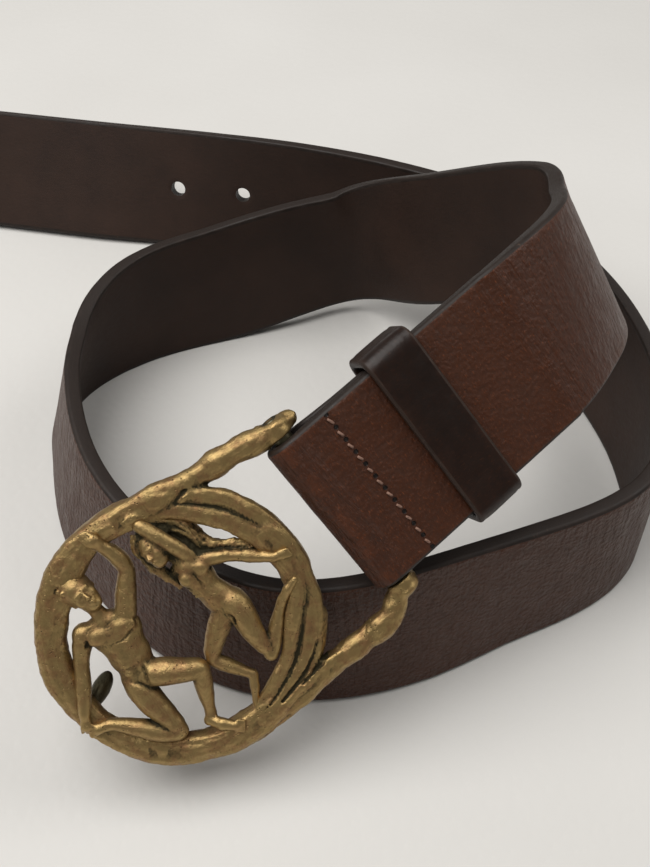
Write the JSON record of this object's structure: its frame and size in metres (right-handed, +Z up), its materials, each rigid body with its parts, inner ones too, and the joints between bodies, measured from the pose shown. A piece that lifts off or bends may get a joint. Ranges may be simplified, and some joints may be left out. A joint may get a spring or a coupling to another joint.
{
  "type": "belt buckle",
  "caption": "Round openwork cast buckle with two figures inside a branch-like ring, hinged in the sewn fold of a coiled leather strap with a sliding keeper.",
  "frame": {"origin": "centre of the bounding box, on the ground plane that the strap's lower edge stands on", "axes": "+X along the longest extent, away from the strap's tip; +Z up, the shortest extent; the buckle faces -Y and up"},
  "size_m": [0.3069, 0.2481, 0.0956],
  "materials": {
    "strap_leather": "semi-gloss grain, dark brown",
    "keeper_leather": "polished, nearly black brown",
    "thread": "waxed thread",
    "cast_brass": "aged cast brass, dark in its hollows",
    "dark_brass": "dark patina"
  },
  "bodies": {
    "belt": {"strap": "strap_leather", "fold_stitching": "thread"},
    "buckle": {"hinge_bar": "cast_brass", "ring_frame": "cast_brass", "kneeling_figure": "cast_brass", "reclining_figure": "cast_brass", "hook_stud": "dark_brass"},
    "keeper": {"keeper_loop": "keeper_leather", "keeper_stitching": "thread"}
  },
  "joints": [
    {"name": "buckle_hinge", "type": "hinge", "parent": "belt", "child": "buckle", "pos_m": [0.0654, -0.0863, 0.0577], "axis": [-0.6146, 0.4047, 0.6771], "range_deg": [0, 120]},
    {"name": "keeper_slide", "type": "slide", "parent": "belt", "child": "keeper", "axis": [0.7451, 0.5798, 0.3297], "range_m": [-0.006, 0.012]}
  ]
}
